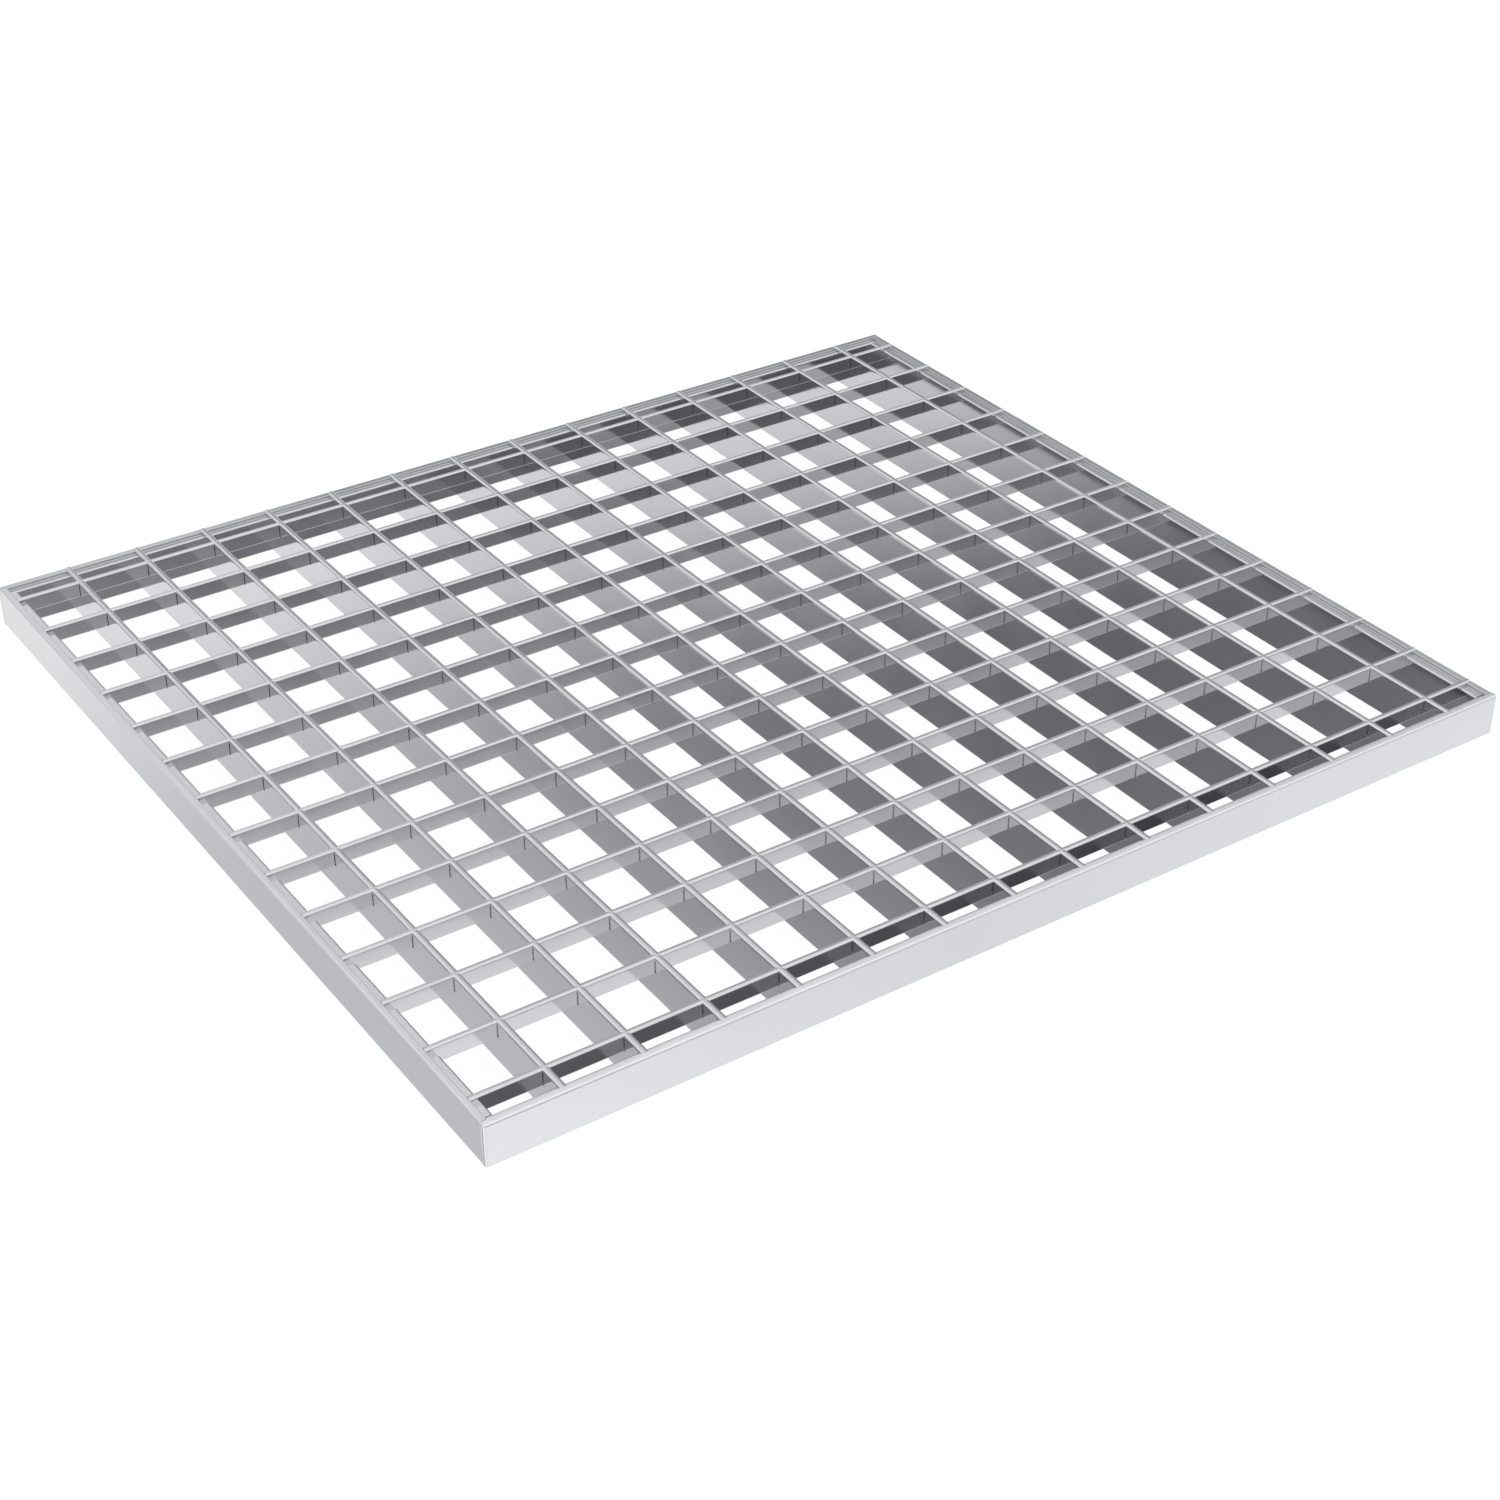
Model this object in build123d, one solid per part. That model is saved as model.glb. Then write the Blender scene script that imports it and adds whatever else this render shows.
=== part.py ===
from build123d import *
import os

# Flat press-locked steel grating panel with a stepped rim all round.
# Frame: X along the cross bars, Y along the bearing bars, +Z up.
# Origin: centre of the underside of the rim, so the panel lies on Z = 0.
# All sizes in millimetres.

# ---- driving dimensions -------------------------------------------------
LENGTH = 503.0            # overall, along X (across the bearing bars)
WIDTH = 454.0             # overall, along Y (along the bearing bars)
DEPTH = 19.0              # overall height of rim and bearing bars
RIM_T = 3.0               # thickness of the rim's full-height outer wall
LEDGE_X = 4.0             # width of the step inside the left and right walls
LEDGE_Y = 3.0             # width of the step inside the front and back walls
LEDGE_DROP = 1.7          # how far the step lies below the top
WALL_DROP = 0.35          # right and back walls stop this far below the top
END_GAP = 0.3             # bar ends stop this far inside the right and back outer faces
BEARING_T = 3.0           # thickness of a bearing bar
CROSS_T = 2.8             # thickness of a cross bar
CROSS_D = 7.5             # depth of a cross bar, flush with the top
CORNER_R = 1.2            # rounded upright corners of the rim

PITCH_X = 34.0            # bearing bar centres
PITCH_Y = 32.46           # cross bar centres
N_BEARING = 14
FIRST_X = 34.0            # first bearing bar, from the left rim's outer face
N_CROSS = 14
FIRST_Y = 16.4            # first cross bar, from the front rim's outer face

TOP = DEPTH
X0 = -LENGTH / 2
Y0 = -WIDTH / 2

bearing_x = [FIRST_X + PITCH_X * i for i in range(N_BEARING)]
cross_y = [FIRST_Y + PITCH_Y * j for j in range(N_CROSS)]


def slab(x1, x2, y1, y2, z1, z2):
    """Axis-aligned flat bar between two corners."""
    return Pos((x1 + x2) / 2, (y1 + y2) / 2, (z1 + z2) / 2) * Box(x2 - x1, y2 - y1, z2 - z1)


def round_uprights(bar, side):
    """Rounds the two outer upright edges of a front (-1) or back (+1) rim flat."""
    edges = [e for e in bar.edges().filter_by(Axis.Z)
             if side * e.center().Y > side * bar.center().Y]
    return fillet(edges, CORNER_R)


# ---- grid: bearing bars and cross bars, fused where they cross; a short tab at
# ---- each bar end lies over the rim's step and meets the front or left wall, or
# ---- runs on over the lower back or right wall ---------------------------------
STEP_Z = TOP - LEDGE_DROP
LOW_TOP = TOP - WALL_DROP
bars = []
for x in bearing_x:
    xa, xb = X0 + x - BEARING_T / 2, X0 + x + BEARING_T / 2
    bars.append(slab(xa, xb, Y0 + RIM_T + LEDGE_Y, -Y0 - RIM_T - LEDGE_Y, 0.0, TOP))
    bars.append(slab(xa, xb, Y0 + RIM_T, -Y0 - RIM_T, STEP_Z, TOP))
    bars.append(slab(xa, xb, -Y0 - RIM_T - 1, -Y0 - END_GAP, LOW_TOP, TOP))
for y in cross_y:
    ya, yb = Y0 + y - CROSS_T / 2, Y0 + y + CROSS_T / 2
    bars.append(slab(X0 + RIM_T + LEDGE_X, -X0 - RIM_T - LEDGE_X, ya, yb, TOP - CROSS_D, TOP))
    bars.append(slab(X0 + RIM_T, -X0 - RIM_T, ya, yb, STEP_Z, TOP))
    bars.append(slab(-X0 - RIM_T - 1, -X0 - END_GAP, ya, yb, LOW_TOP, TOP))
grid = bars[0].fuse(*bars[1:])

# ---- rim: full-length front and back, the sides between them -----------------
YW, YL = -Y0 - RIM_T, -Y0 - RIM_T - LEDGE_Y      # inside of the wall, inside of the step
XW, XL = -X0 - RIM_T, -X0 - RIM_T - LEDGE_X
edge_front = round_uprights(slab(X0, -X0, Y0, -YW, 0.0, TOP), -1).fuse(slab(-XW, XW, -YW, -YL, 0.0, STEP_Z))
edge_back = round_uprights(slab(X0, -X0, YW, -Y0, 0.0, LOW_TOP), 1).fuse(slab(-XW, XW, YL, YW, 0.0, STEP_Z))
edge_left = slab(X0, -XW, -YW, YW, 0.0, TOP).fuse(slab(-XW, -XL, -YL, YL, 0.0, STEP_Z))
edge_right = slab(XW, -X0, -YW, YW, 0.0, LOW_TOP).fuse(slab(XL, XW, -YL, YL, 0.0, STEP_Z))

os.makedirs("parts", exist_ok=True)
for name, solid in {
    "bar_grid": grid,
    "edge_bar_front": edge_front,
    "edge_bar_back": edge_back,
    "edge_bar_left": edge_left,
    "edge_bar_right": edge_right,
}.items():
    export_step(solid, f"parts/{name}.step")
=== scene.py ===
import math

import bmesh
import bpy
from mathutils import Matrix, Vector


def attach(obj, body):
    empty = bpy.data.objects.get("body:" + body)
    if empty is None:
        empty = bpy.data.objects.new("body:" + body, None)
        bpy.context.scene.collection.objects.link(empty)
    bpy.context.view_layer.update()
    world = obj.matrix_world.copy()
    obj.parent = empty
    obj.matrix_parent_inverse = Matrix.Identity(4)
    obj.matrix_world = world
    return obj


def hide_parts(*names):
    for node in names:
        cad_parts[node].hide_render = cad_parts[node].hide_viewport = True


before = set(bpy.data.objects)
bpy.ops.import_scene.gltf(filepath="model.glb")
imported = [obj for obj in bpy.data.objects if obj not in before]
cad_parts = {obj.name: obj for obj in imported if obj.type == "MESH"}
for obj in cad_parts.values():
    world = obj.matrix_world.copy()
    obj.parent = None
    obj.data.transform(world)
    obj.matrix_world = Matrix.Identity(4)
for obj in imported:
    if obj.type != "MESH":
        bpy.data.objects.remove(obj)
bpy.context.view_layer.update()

# ---------------------------------------------------------------- sizes, metres
MM = 0.001
LENGTH, WIDTH, DEPTH = 503.0, 454.0, 19.0
RIM_T = 3.0
LEDGE_X, LEDGE_Y, LEDGE_DROP = 4.0, 3.0, 1.7
WALL_DROP = 0.35
END_GAP = 0.3
BEARING_T = 3.0
CROSS_T = 2.8
CROSS_D = 7.5
CORNER_R = 1.2
PITCH_X = 34.0
PITCH_Y = 32.46
N_BEARING = 14
FIRST_X = 34.0
N_CROSS = 14
FIRST_Y = 16.4
X0, Y0 = -LENGTH / 2, -WIDTH / 2
X1, Y1 = -X0, -Y0
STEP_Z = DEPTH - LEDGE_DROP

ROLL_L = (1.1, 0.7)        # width and height of the rolled left or front top edge
ROLL_R = (1.6, 0.6)        # and of the right or back one
EDGE_RB = 0.5              # edges underneath
POCKET_W = 0.6             # play beside a cross bar where it enters a bearing bar
POCKET_D = 0.4             # how deep the play runs into the bearing bar's side
NOTCH_W, NOTCH_D = 3.2, 1.1  # clearance in the left step in front of each cross bar
POCKET_TOP = 1.5           # its upper end, below the top
RIM_R = 0.3                # inner top edge of the rim's wall
RIM_RO = 0.9               # outer top edge of the front and left walls

BEARING_X = [FIRST_X + PITCH_X * i for i in range(N_BEARING)]
CROSS_Y = [FIRST_Y + PITCH_Y * j for j in range(N_CROSS)]


# ---------------------------------------------------------------- mesh helpers
def section(w, z0, z1, pocket=None, n=5):
    """Closed outline of a flat bar's section, (across, up), counter-clockwise from the lower right. pocket is (depth, upper, lower) on the left side."""
    pts = []
    for cx, cz, rx, rz, a0 in ((w / 2 - EDGE_RB, z0 + EDGE_RB, EDGE_RB, EDGE_RB, -90),
                               (w / 2 - ROLL_R[0], z1 - ROLL_R[1], ROLL_R[0], ROLL_R[1], 0),
                               (-w / 2 + ROLL_L[0], z1 - ROLL_L[1], ROLL_L[0], ROLL_L[1], 90),
                               (-w / 2 + EDGE_RB, z0 + EDGE_RB, EDGE_RB, EDGE_RB, 180)):
        if a0 == 180 and pocket:
            d, za, zb = pocket
            pts += [(-w / 2, za), (-w / 2 + d, za), (-w / 2 + d, zb), (-w / 2, zb)]
        for k in range(n + 1):
            a = math.radians(a0 + 90 * k / n)
            pts.append((cx + rx * math.cos(a), cz + rz * math.sin(a)))
    return pts


def sweep(bm, rings, close=True):
    """Joins rings of points of equal count into a tube and caps it."""
    made = [[bm.verts.new(p) for p in ring] for ring in rings]
    n = len(made[0])
    for a, b in zip(made, made[1:]):
        for i in range(n):
            j = (i + 1) % n
            bm.faces.new((a[i], a[j], b[j], b[i]))
    if close:
        bm.faces.new(list(reversed(made[0])))
        bm.faces.new(made[-1])


def to_object(bm, name, smooth=35):
    bmesh.ops.remove_doubles(bm, verts=bm.verts, dist=2e-6)
    bmesh.ops.dissolve_degenerate(bm, edges=bm.edges, dist=1e-6)
    if bm.calc_volume(signed=True) < 0:
        bmesh.ops.reverse_faces(bm, faces=bm.faces)
    mesh = bpy.data.meshes.new(name)
    bm.to_mesh(mesh)
    bm.free()
    for p in mesh.polygons:
        p.use_smooth = True
    mesh.set_sharp_from_angle(angle=math.radians(smooth))
    obj = bpy.data.objects.new(name, mesh)
    bpy.context.scene.collection.objects.link(obj)
    mod = obj.modifiers.new("even_normals", "WEIGHTED_NORMAL")
    mod.weight = 100
    mod.keep_sharp = True
    return obj


def bar_along(bm, heights, axis, centre, span, wall, outer, pockets):
    """A bar along an axis: full depth over span, a tab above the rim's step out to the walls, and a thin tongue over
    the far wall to outer. pockets are (start, end) stretches with play beside a cross bar."""
    z_low, z_top = heights
    w = BEARING_T if axis == "Y" else CROSS_T
    za, zb = DEPTH - POCKET_TOP, DEPTH - CROSS_D
    full = section(w, z_low, z_top, (0.0, za, zb) if pockets else None)
    dented = section(w, z_low, z_top, (POCKET_D, za, zb)) if pockets else full
    rings = []

    def side(roll, z, sign):
        """Where a top edge's roll stands at a height, across the bar."""
        t = min(1.0, max(0.0, (z - (z_top - roll[1])) / roll[1]))
        return sign * (w / 2 - roll[0] + roll[0] * math.sqrt(1 - t * t))

    def ring(outline, s, z_min=0.0):
        lo, hi = side(ROLL_L, z_min, -1), side(ROLL_R, z_min, 1)
        pts = [(a, z) if z > z_min else (min(max(a, lo), hi), z_min) for a, z in outline]
        rings.append([((centre + a) * MM, s * MM, z * MM) if axis == "Y" else (s * MM, (centre + a) * MM, z * MM)
                      for a, z in pts])

    tab, tongue = STEP_Z + 0.02, DEPTH - WALL_DROP + 0.02
    near_tab = tab if axis == "Y" else STEP_Z - NOTCH_D - 0.1
    ring(full, wall[0], near_tab)
    ring(full, span[0], near_tab)
    ring(full, span[0])
    for a, b in pockets:
        ring(full, a)
        ring(dented, a)
        ring(dented, b)
        ring(full, b)
    ring(full, span[1])
    ring(full, span[1], tab)
    ring(full, wall[1], tab)
    ring(full, wall[1], tongue)
    ring(full, outer, tongue)
    sweep(bm, rings)


def bearing_bar(bm, xc):
    """Deep bar, with a little play in its side in front of each cross bar."""
    pockets = [(Y0 + yc - CROSS_T / 2 - POCKET_W, Y0 + yc - CROSS_T / 2 + 0.05) for yc in CROSS_Y]
    bar_along(bm, (0.0, DEPTH), "Y", X0 + xc, (Y0 + RIM_T + LEDGE_Y, Y1 - RIM_T - LEDGE_Y),
              (Y0 + RIM_T - 0.3, Y1 - RIM_T), Y1 - END_GAP, pockets)


def cross_bar(bm, yc):
    bar_along(bm, (DEPTH - CROSS_D, DEPTH - 0.01), "X", Y0 + yc, (X0 + RIM_T + LEDGE_X, X1 - RIM_T - LEDGE_X),
              (X0 + RIM_T, X1 - RIM_T), X1 - END_GAP, [])


def rim_section(step, top, ro=RIM_RO):
    """Outline of the stepped rim, (inward from the outer face, up): outer wall, then the step inside it."""
    r, rb = RIM_R, 0.4

    def arc(cx, cz, rx, rz, a0, a1, n=5):
        return [(cx + rx * math.cos(math.radians(a0 + (a1 - a0) * k / n)),
                 cz + rz * math.sin(math.radians(a0 + (a1 - a0) * k / n))) for k in range(n + 1)]

    w = RIM_T + step
    pts = arc(w - rb, rb, rb, rb, -90, 0)
    pts += arc(w - ROLL_L[0], STEP_Z - ROLL_L[1], ROLL_L[0], ROLL_L[1], 0, 90)
    pts += arc(RIM_T + 0.25, STEP_Z + 0.25, 0.25, 0.25, -90, -180, 3)
    pts += arc(RIM_T - r, top - r, r, r, 0, 90)
    pts += arc(ro, top - ro, ro, ro, 90, 180)
    pts += arc(rb, rb, rb, rb, 180, 270)
    return pts


def rim(bm, side):
    """One side of the rim. Front and back run full length with rounded upright corners; left and right fit between them."""
    if side in ("front", "back"):
        outline = rim_section(LEDGE_Y, DEPTH) if side == "front" else rim_section(LEDGE_Y, DEPTH - WALL_DROP, 0.25)
        # stations along the length: the corner is a quarter round of CORNER_R in plan
        stations = []
        for k in range(7):
            a = math.radians(90 * k / 6)
            stations.append((CORNER_R * (1 - math.cos(a)) , CORNER_R * (1 - math.sin(a))))
        def place(s, t, z):
            y = Y0 + t if side == "front" else Y1 - t
            return (s * MM, y * MM, z * MM)
        rings = []
        for s, inset in stations:
            rings.append([place(X0 + s, max(t, inset), z) if t < RIM_T + 0.01 else place(X0 + s, RIM_T, min(z, STEP_Z)) for t, z in outline])
        last = rings[-1]
        rings.append([place(X0 + RIM_T, t, z) if t < RIM_T + 0.01 else place(X0 + RIM_T, RIM_T, min(z, STEP_Z)) for t, z in outline])
        rings.append([place(X0 + RIM_T, t, z) for t, z in outline])
        rings.append([place(X1 - RIM_T, t, z) for t, z in outline])
        rings.append([place(X1 - RIM_T, t, z) if t < RIM_T + 0.01 else place(X1 - RIM_T, RIM_T, min(z, STEP_Z)) for t, z in outline])
        for s, inset in reversed(stations):
            rings.append([place(X1 - s, max(t, inset), z) if t < RIM_T + 0.01 else place(X1 - s, RIM_T, min(z, STEP_Z)) for t, z in outline])
        sweep(bm, rings)
    else:
        outline = rim_section(LEDGE_X, DEPTH) if side == "left" else rim_section(LEDGE_X, DEPTH - WALL_DROP, 0.25)

        def place(t, s, z):
            x = X0 + t if side == "left" else X1 - t
            return (x * MM, s * MM, z * MM)
        ya, yb = Y0 + RIM_T, Y1 - RIM_T
        wall_only = [place(t, 0.0, z) if t < RIM_T + 0.01 else place(RIM_T, 0.0, min(z, STEP_Z)) for t, z in outline]
        stepped = [place(t, 0.0, z) for t, z in outline]
        notched = [place(t, 0.0, z if t < RIM_T + 0.01 else min(z, STEP_Z - NOTCH_D)) for t, z in outline]
        stations = [(ya, wall_only), (ya + LEDGE_Y, wall_only), (ya + LEDGE_Y, stepped)]
        if side == "left":
            for yc in CROSS_Y:
                b = Y0 + yc - CROSS_T / 2 + 0.05
                a = max(b - NOTCH_W, ya + LEDGE_Y + 0.1)
                stations += [(a, stepped), (a, notched), (b, notched), (b, stepped)]
        stations += [(yb - LEDGE_Y, stepped), (yb - LEDGE_Y, wall_only), (yb, wall_only)]
        sweep(bm, [[(x, y * MM, z) for x, _, z in ring] for y, ring in stations])


# ---------------------------------------------------------------- material
def steel(name, base, rough, seed=0.0, along="X"):
    """Bright galvanised strip: soft broad clouding, fine rolling lines along the bar and a fine grain in the gloss."""
    mat = bpy.data.materials.new(name)
    mat.use_nodes = True
    nt = mat.node_tree
    nt.nodes.clear()
    N, L = nt.nodes.new, nt.links.new
    out = N("ShaderNodeOutputMaterial")
    bsdf = N("ShaderNodeBsdfPrincipled")
    bsdf.inputs["Metallic"].default_value = 1.0
    L(bsdf.outputs[0], out.inputs[0])
    tc = N("ShaderNodeTexCoord")
    mp = N("ShaderNodeMapping")
    mp.inputs["Location"].default_value = (seed, seed * 0.7, seed * 1.3)
    L(tc.outputs["Object"], mp.inputs[0])
    cloud = N("ShaderNodeTexNoise")
    cloud.inputs["Scale"].default_value = 28.0
    cloud.inputs["Detail"].default_value = 4.0
    L(mp.outputs[0], cloud.inputs["Vector"])
    ramp = N("ShaderNodeValToRGB")
    ramp.color_ramp.elements[0].position = 0.30
    ramp.color_ramp.elements[1].position = 0.72
    ramp.color_ramp.elements[0].color = (base[0] * 0.965, base[1] * 0.968, base[2] * 0.972, 1)
    ramp.color_ramp.elements[1].color = (base[0] * 1.02, base[1] * 1.02, base[2] * 1.02, 1)
    L(cloud.outputs["Fac"], ramp.inputs[0])
    L(ramp.outputs[0], bsdf.inputs["Base Color"])
    lines = N("ShaderNodeMapping")
    lines.inputs["Scale"].default_value = (60, 2600, 2600) if along == "X" else (2600, 60, 2600)
    L(tc.outputs["Object"], lines.inputs[0])
    grain = N("ShaderNodeTexNoise")
    grain.inputs["Scale"].default_value = 1.0
    grain.inputs["Detail"].default_value = 2.0
    L(lines.outputs[0], grain.inputs["Vector"])
    mr = N("ShaderNodeMapRange")
    mr.inputs["From Min"].default_value = 0.3
    mr.inputs["From Max"].default_value = 0.7
    mr.inputs["To Min"].default_value = rough - 0.03
    mr.inputs["To Max"].default_value = rough + 0.03
    L(cloud.outputs["Fac"], mr.inputs["Value"])
    L(mr.outputs[0], bsdf.inputs["Roughness"])
    bump = N("ShaderNodeBump")
    bump.inputs["Strength"].default_value = 0.05
    bump.inputs["Distance"].default_value = 0.00004
    L(grain.outputs["Fac"], bump.inputs["Height"])
    L(bump.outputs[0], bsdf.inputs["Normal"])
    return mat


BASE = (0.692, 0.699, 0.716)
mat_bearing = steel("steel_bearing", BASE, 0.10, 0.0, "Y")
mat_cross = steel("steel_cross", BASE, 0.10, 3.1, "X")
# Painted light and shade: the rims are copies of the same steel, made lighter on the front and left rims, which face
# the camera's side, and darker on the back and right rims.
mat_front_painted_lit = steel("steel_front_painted_lit", (0.822, 0.830, 0.848), 0.14, 11.2, "X")
# Painted shade: a darker copy of the front rim's steel, for its inward-facing upright face.
mat_front_inner_painted_shade = steel("steel_front_inner_painted_shade", (0.57, 0.577, 0.590), 0.18, 2.6, "X")
mat_left_painted_lit = steel("steel_left_painted_lit", (0.733, 0.740, 0.757), 0.14, 8.3, "Y")
mat_back_painted_shade = steel("steel_back_painted_shade", (0.625, 0.632, 0.648), 0.14, 5.7, "X")
mat_right_painted_shade = steel("steel_right_painted_shade", (0.625, 0.632, 0.648), 0.14, 9.4, "Y")

# ---------------------------------------------------------------- pieces
bm = bmesh.new()
for xc in BEARING_X:
    bearing_bar(bm, xc)
bearing = to_object(bm, "bearing_bars")

bm = bmesh.new()
for yc in CROSS_Y:
    cross_bar(bm, yc)
cross = to_object(bm, "cross_bars")

rims = {}
for name in ("front", "back", "left", "right"):
    bm = bmesh.new()
    rim(bm, name)
    rims[name] = to_object(bm, "rim_" + name)

bearing.data.materials.append(mat_bearing)
cross.data.materials.append(mat_cross)
for name, obj in rims.items():
    obj.data.materials.append({"front": mat_front_painted_lit, "back": mat_back_painted_shade, "left": mat_left_painted_lit, "right": mat_right_painted_shade}[name])
# Painted shade: the front rim's faces that turn inward, towards +Y, get the darker steel.
rims["front"].data.materials.append(mat_front_inner_painted_shade)
for face in rims["front"].data.polygons:
    if face.normal.y > 0.7:
        face.material_index = 1

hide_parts("bar_grid")
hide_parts("bar_grid")
for name, obj in rims.items():
    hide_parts("edge_bar_" + name)
for obj in (bearing, cross, *rims.values()):
    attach(obj, "root")

# ---------------------------------------------------------------- floor and light
bm = bmesh.new()
bmesh.ops.create_grid(bm, x_segments=8, y_segments=8, size=6.0)
mesh = bpy.data.meshes.new("floor")
bm.to_mesh(mesh)
bm.free()
floor = bpy.data.objects.new("floor", mesh)
floor.location = (0, 0, -0.0003)
bpy.context.scene.collection.objects.link(floor)
fm = bpy.data.materials.new("studio_floor")
fm.use_nodes = True
fb = fm.node_tree.nodes["Principled BSDF"]
fb.inputs["Base Color"].default_value = (0.06, 0.06, 0.06, 1)
fb.inputs["Roughness"].default_value = 1.0
fb.inputs["Specular IOR Level"].default_value = 0.0
fb.inputs["Emission Color"].default_value = (0.985, 0.99, 1.0, 1)
fb.inputs["Emission Strength"].default_value = 0.97
floor.data.materials.append(fm)
floor.visible_glossy = False

# The studio: light from above is strongest overhead. Below the horizon the room is a set of soft graduated surfaces, which the
# upright faces of the bars reflect. They are laid out over the direction's slopes, x and y per unit of fall.
world = bpy.data.worlds.new("studio")
bpy.context.scene.world = world
world.use_nodes = True
wt = world.node_tree
wt.nodes.clear()
WN, WL = wt.nodes.new, wt.links.new


def w_math(op, a, b=None, c=None, clamp=False):
    n = WN("ShaderNodeMath")
    n.operation = op
    n.use_clamp = clamp
    for k, v in enumerate((a, b, c)):
        if v is None:
            continue
        if isinstance(v, (int, float)):
            n.inputs[k].default_value = v
        else:
            WL(v, n.inputs[k])
    return n.outputs[0]


def w_range(v, lo, hi, smooth=False):
    n = WN("ShaderNodeMapRange")
    n.interpolation_type = "SMOOTHSTEP" if smooth else "LINEAR"
    n.clamp = True
    WL(v, n.inputs["Value"])
    n.inputs["From Min"].default_value = lo
    n.inputs["From Max"].default_value = hi
    return n.outputs[0]


def w_curve(v, lo, hi, points):
    """A value read off a curve of (place, level), levels up to 2."""
    n = WN("ShaderNodeValToRGB")
    WL(w_range(v, lo, hi), n.inputs[0])
    ramp = n.color_ramp
    ramp.interpolation = "LINEAR"
    ramp.elements.remove(ramp.elements[1])
    for k, (x, y) in enumerate(points):
        place = (x - lo) / (hi - lo)
        e = ramp.elements[0] if k == 0 else ramp.elements.new(place)
        e.position = place
        e.color = (y / 2, y / 2, y / 2, 1)
    return w_math("MULTIPLY", n.outputs[0], 2.0)


def w_mix(f, a, b):
    """a where f is 0, b where f is 1."""
    n = WN("ShaderNodeMath")
    n.operation = "SUBTRACT"
    for k, x in enumerate((b, a)):
        if isinstance(x, (int, float)):
            n.inputs[k].default_value = x
        else:
            WL(x, n.inputs[k])
    return w_math("ADD", a, w_math("MULTIPLY", f, n.outputs[0]))


ENV = {
    # side: (level near, level far, how near turns to far)
    "-+": ([(0.300, 0.717), (0.574, 0.652), (0.629, 0.582), (0.684, 0.488), (0.738, 0.401), (0.793, 0.335), (0.848, 0.278), (0.903, 0.240), (0.958, 0.214), (1.013, 0.194), (1.068, 0.182), (1.123, 0.176), (1.178, 0.174), (1.233, 0.176), (1.288, 0.180), (2.300, 0.180)],
           [(0.300, 0.961), (0.574, 0.961), (0.629, 0.961), (0.684, 0.961), (0.738, 0.951), (0.793, 0.951), (0.848, 0.931), (0.903, 0.931), (0.958, 0.921), (1.013, 0.921), (1.068, 0.911), (1.123, 0.901), (1.178, 0.901), (1.233, 0.901), (1.288, 0.911), (2.300, 0.911)],
           [(0.300, 0.000), (1.083, 0.030), (1.136, 0.005), (1.188, 0.001), (1.241, 0.000), (1.293, 0.004), (1.346, 0.056), (1.398, 0.125), (1.450, 0.279), (1.503, 0.470), (1.555, 0.655), (1.608, 0.815), (1.660, 0.947), (1.713, 1.000), (2.800, 1.000)]),
    "+-": ([(0.300, 0.991), (0.534, 0.991), (0.589, 0.961), (0.644, 0.921), (0.699, 0.891), (0.754, 0.872), (0.809, 0.853), (0.864, 0.834), (0.920, 0.853), (0.975, 0.872), (1.030, 0.882), (1.085, 0.882), (1.140, 0.891), (1.195, 0.901), (1.250, 0.901), (2.300, 0.901)],
           [(0.300, 0.383), (0.534, 0.319), (0.589, 0.259), (0.644, 0.214), (0.699, 0.202), (0.754, 0.198), (0.809, 0.190), (0.864, 0.182), (0.920, 0.198), (0.975, 0.231), (1.030, 0.298), (1.085, 0.363), (1.140, 0.436), (1.195, 0.462), (1.250, 0.495), (2.300, 0.495)],
           [(0.300, 0.000), (1.107, 0.001), (1.159, 0.108), (1.212, 0.225), (1.264, 0.373), (1.317, 0.538), (1.370, 0.680), (1.422, 0.799), (1.475, 0.851), (1.527, 0.909), (1.580, 0.935), (1.633, 0.970), (1.685, 1.000), (1.738, 0.996), (2.800, 1.000)]),
    "--": ([(0.300, 0.955), (0.566, 0.955), (0.621, 0.955), (0.676, 0.920), (0.731, 0.897), (0.786, 0.875), (0.841, 0.864), (0.897, 0.842), (0.952, 0.799), (1.007, 0.799), (1.062, 0.778), (1.117, 0.768), (1.172, 0.768), (1.227, 0.758), (1.282, 0.747), (2.300, 0.747)],
           [(0.300, 0.527), (0.566, 0.527), (0.621, 0.502), (0.676, 0.411), (0.731, 0.343), (0.786, 0.277), (0.841, 0.234), (0.897, 0.181), (0.952, 0.160), (1.007, 0.147), (1.062, 0.151), (1.117, 0.144), (1.172, 0.144), (1.227, 0.155), (1.282, 0.151), (2.300, 0.151)],
           [(0.300, 0.000), (1.107, 0.000), (1.159, 0.090), (1.212, 0.225), (1.264, 0.355), (1.317, 0.515), (1.370, 0.650), (1.422, 0.740), (1.475, 0.810), (1.527, 0.853), (1.580, 0.935), (1.633, 0.950), (1.685, 0.980), (1.738, 1.000), (2.800, 1.000)]),
}
SKY_FAR = [(-1.0, 0.42), (0.0, 0.42), (0.42, 0.42), (0.47, 0.455), (0.485, 0.48), (0.51, 0.68), (0.55, 0.74), (0.60, 0.80), (0.66, 0.86), (0.77, 0.97), (1.0, 1.05)]
SKY = [(-1.0, 0.82), (0.0, 0.82), (0.22, 0.80), (0.40, 0.68), (0.48, 0.66), (0.53, 0.85), (0.58, 1.0), (0.70, 1.05), (1.0, 1.06)]

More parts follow.
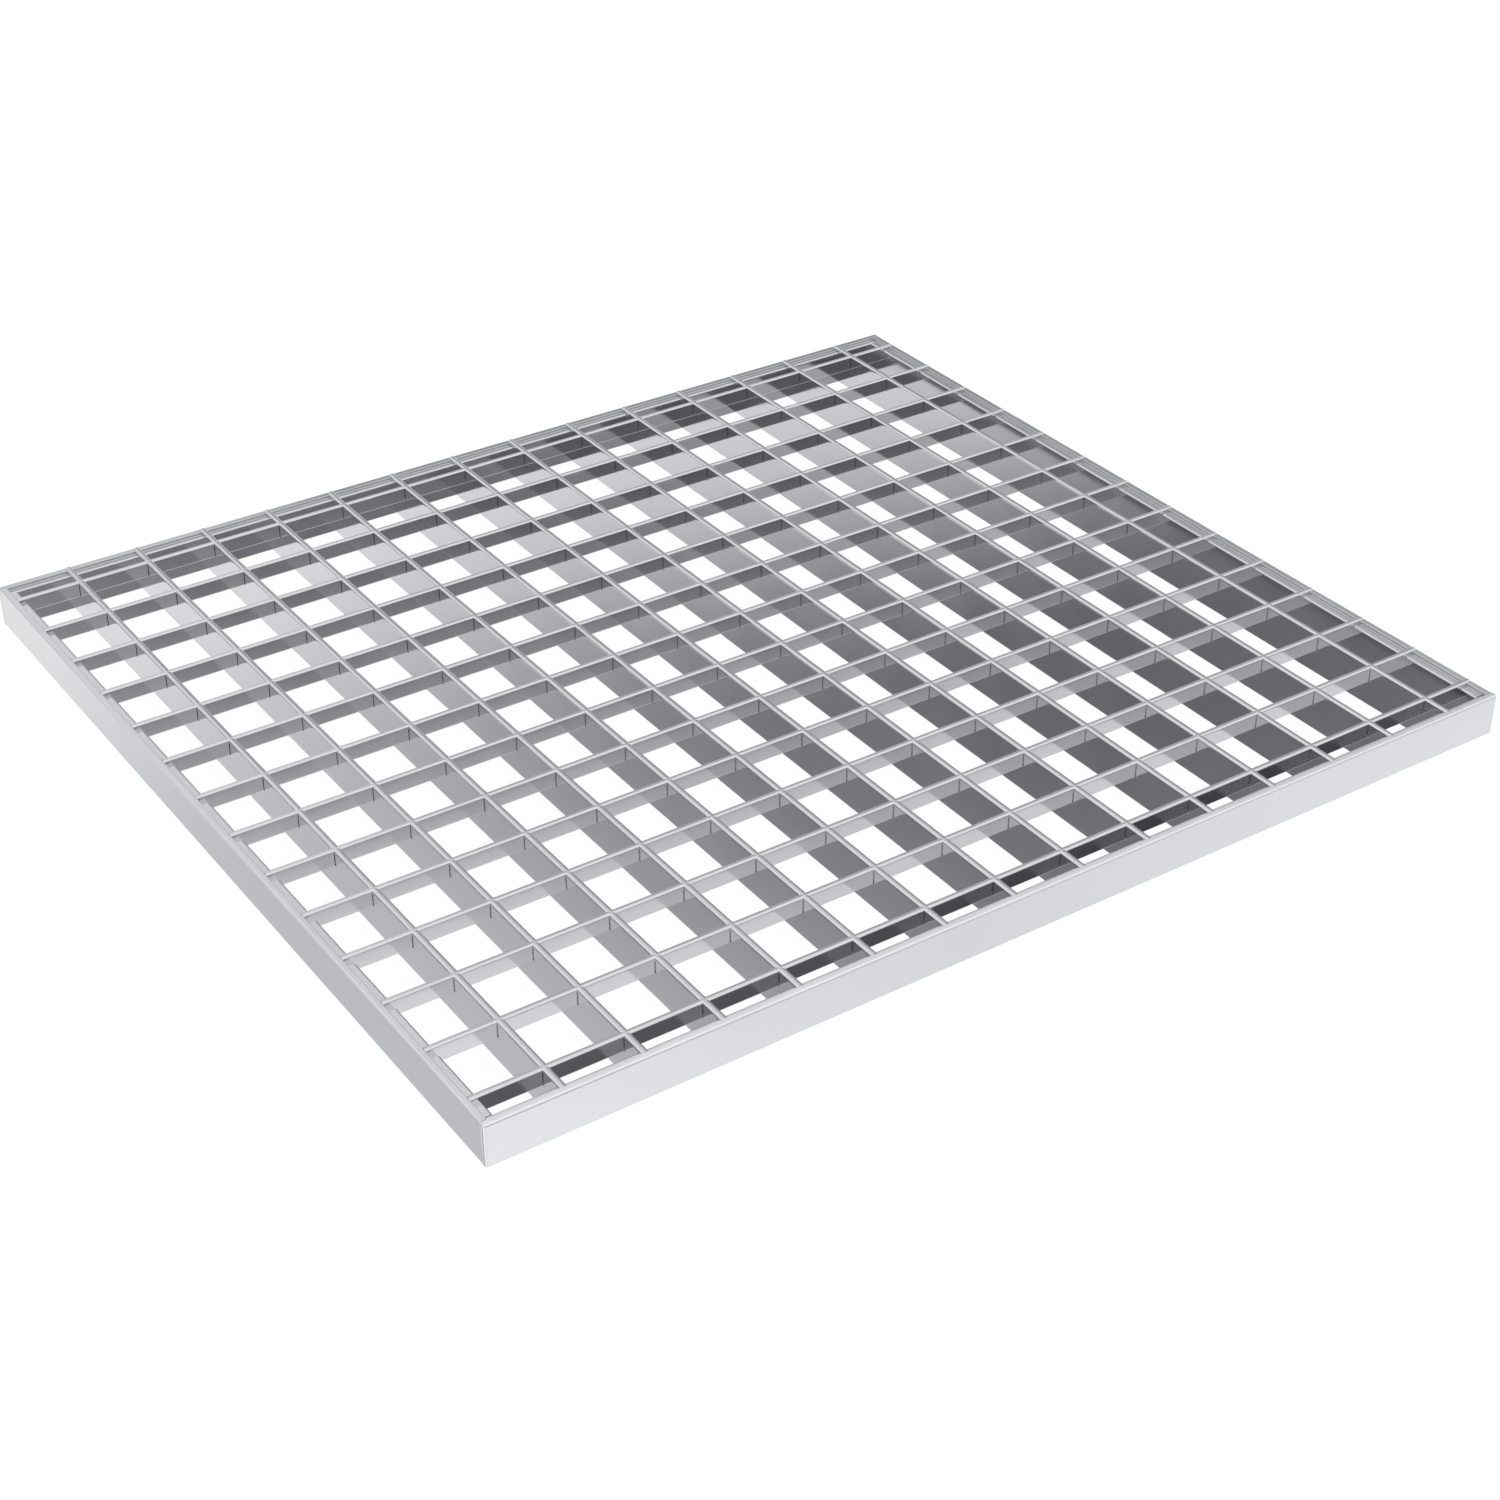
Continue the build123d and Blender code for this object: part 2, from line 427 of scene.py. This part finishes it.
coord = WN("ShaderNodeTexCoord")
sep = WN("ShaderNodeSeparateXYZ")
WL(coord.outputs["Generated"], sep.inputs[0])
dx, dy, dz = sep.outputs
fall = w_math("MAXIMUM", w_math("MULTIPLY", dz, -1.0), 0.02)
p = w_math("DIVIDE", dx, fall)
q = w_math("DIVIDE", dy, fall)
u = w_math("ABSOLUTE", p)
v = w_math("ABSOLUTE", q)
quad = {}
for key, (near, far, s_v) in ENV.items():
    quad[key] = w_mix(w_curve(v, 0.3, 2.8, s_v), w_curve(u, 0.3, 2.3, near), w_curve(u, 0.3, 2.3, far))
# Away from the camera's side, below the horizon and at it, by direction round the horizon: 0 along Y, 1 along X.
turn = w_math("DIVIDE", w_math("MAXIMUM", dx, 0.0), w_math("MAXIMUM", w_math("ADD", w_math("MAXIMUM", dx, 0.0), w_math("MAXIMUM", dy, 0.0)), 0.001))
low_pp = w_curve(turn, 0.0, 1.0, [(0.0, 0.30), (0.31, 0.25), (0.42, 0.19), (0.50, 0.21), (1.0, 0.25)])
steep = w_math("MULTIPLY", w_range(dz, -0.50, -0.54, True), w_range(turn, 0.42, 0.50, True))
low_pp = w_mix(steep, low_pp, 0.07)
wall_pp = w_curve(turn, 0.0, 1.0, [(0.0, 0.82), (0.44, 0.80), (0.49, 0.42), (0.56, 0.42), (0.62, 0.50), (1.0, 0.60)])
quad["++"] = w_mix(w_range(dz, -0.15, -0.09, True), low_pp, wall_pp)
right_side = w_range(p, -0.35, 0.35, True)
back_side = w_range(q, -0.45, 0.45, True)
front_half = w_mix(right_side, quad["--"], quad["+-"])
back_half = w_mix(right_side, quad["-+"], quad["++"])
below = w_mix(back_side, front_half, back_half)
# a bright strip off to the left, seen in the rounded upright corner
strip = w_math("MULTIPLY", w_range(v, 1.0, 0.8, True), w_range(p, -0.9, -1.2, True))
below = w_mix(strip, below, 1.25)
in_pp = w_math("MULTIPLY", w_range(dx, 0.02, 0.25, True), w_range(dy, 0.02, 0.25, True))
far_sky = w_mix(w_range(turn, 0.302, 0.286, True), w_curve(dz, -1.0, 1.0, SKY_FAR), 0.82)
above = w_mix(in_pp, w_curve(dz, -1.0, 1.0, SKY), far_sky)
rise = w_range(dz, -0.30, -0.02, True)
rise_pp = w_range(dz, 0.12, 0.36, True)
level = w_mix(w_mix(in_pp, rise, rise_pp), below, above)
tint = WN("ShaderNodeValToRGB")
WL(w_math("MULTIPLY", level, 0.5), tint.inputs[0])
tr = tint.color_ramp
stops = [(0.0, 0.0), (0.05, 0.1), (0.1, 0.2), (0.2, 0.4), (0.35, 0.7), (0.5, 1.0), (1.0, 2.0)]
while len(tr.elements) < len(stops):
    tr.elements.new(0.5)
for e, (x, lv) in zip(tr.elements, stops):
    blue = 1.0 + 0.055 * max(0.0, 1.0 - lv)
    e.position = x
    e.color = (lv / 2 * (1.0 - 0.012 * max(0.0, 1.0 - lv)), lv / 2, lv / 2 * blue, 1)
bg = WN("ShaderNodeBackground")
bg.inputs["Strength"].default_value = 2.0
wo = WN("ShaderNodeOutputWorld")
WL(tint.outputs[0], bg.inputs["Color"])
WL(bg.outputs[0], wo.inputs["Surface"])

# ---------------------------------------------------------------- camera
cam_data = bpy.data.cameras.new("camera")
cam_data.sensor_width = 36.0
cam_data.lens = 64.585
cam_data.clip_start = 0.01
cam_data.clip_end = 50
cam = bpy.data.objects.new("camera", cam_data)
right = Vector((0.826836, -0.562439, 0.001964))
up = Vector((0.305579, 0.452153, 0.837961))
back = Vector((-0.472190, -0.692257, 0.545726))
m = Matrix((right, up, back)).transposed().to_4x4()
m.translation = Vector((-0.57413, -0.86270, 0.63486))
cam.matrix_world = m
bpy.context.scene.collection.objects.link(cam)
bpy.context.scene.camera = cam

bpy.context.scene.view_settings.view_transform = "Standard"
bpy.context.scene.view_settings.look = "None"
bpy.context.scene.view_settings.exposure = 0.0
bpy.context.scene.view_settings.gamma = 1.0
